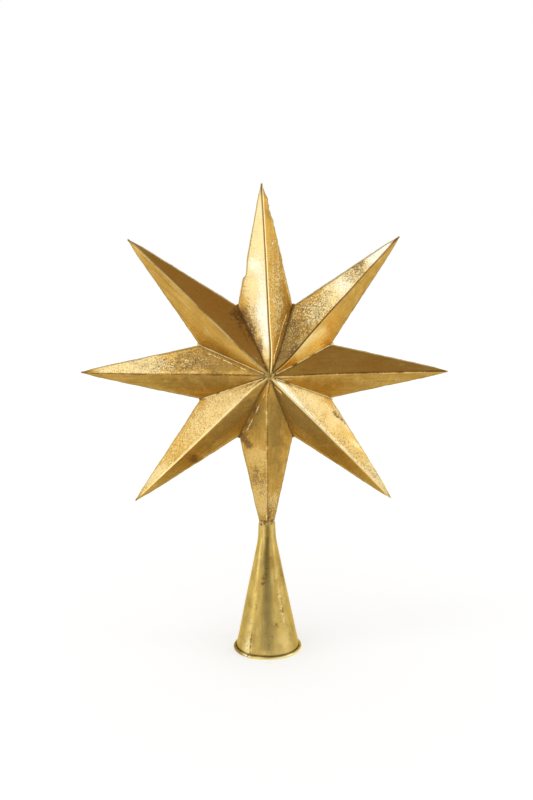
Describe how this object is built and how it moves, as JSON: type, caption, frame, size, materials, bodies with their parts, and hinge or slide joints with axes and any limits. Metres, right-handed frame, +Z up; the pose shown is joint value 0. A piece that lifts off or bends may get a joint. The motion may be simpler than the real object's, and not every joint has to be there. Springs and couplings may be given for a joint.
{
  "type": "tree topper star",
  "caption": "Hollow two-sided star of folded and soldered gilt sheet metal, its lowest ray wedged in the neck of a rolled cone socket that slips over a tree's top shoot.",
  "frame": {"origin": "centre of the cone's mouth, in the plane of its lower edge", "axes": "+Z up along the cone's axis, -Y out of the front face, +X to the viewer's right; the star's mid plane is y = 0"},
  "size_m": [0.24, 0.0462, 0.3086],
  "materials": {
    "gilt_sheet": "aged gold leaf with brown and olive patina",
    "gilt_cone": "satin, lightly aged",
    "gilt_solder": "dull, gilt over soft solder",
    "wire": "plain drawn wire"
  },
  "bodies": {
    "root": {"front_ray_1": "gilt_sheet", "front_ray_2": "gilt_sheet", "front_ray_3": "gilt_sheet", "front_ray_4": "gilt_sheet", "front_ray_5": "gilt_sheet", "front_ray_6": "gilt_sheet", "front_ray_7": "gilt_sheet", "front_ray_8": "gilt_sheet", "back_ray_1": "gilt_sheet", "back_ray_2": "gilt_sheet", "back_ray_3": "gilt_sheet", "back_ray_4": "gilt_sheet", "back_ray_5": "gilt_sheet", "back_ray_6": "gilt_sheet", "back_ray_7": "gilt_sheet", "back_ray_8": "gilt_sheet", "edge_solder": "gilt_solder", "corner_solder": "gilt_solder", "front_centre_solder": "gilt_solder", "back_centre_solder": "gilt_solder", "neck_solder": "gilt_solder", "socket_cone": "gilt_cone", "rim_wire": "wire"}
  },
  "joints": []
}
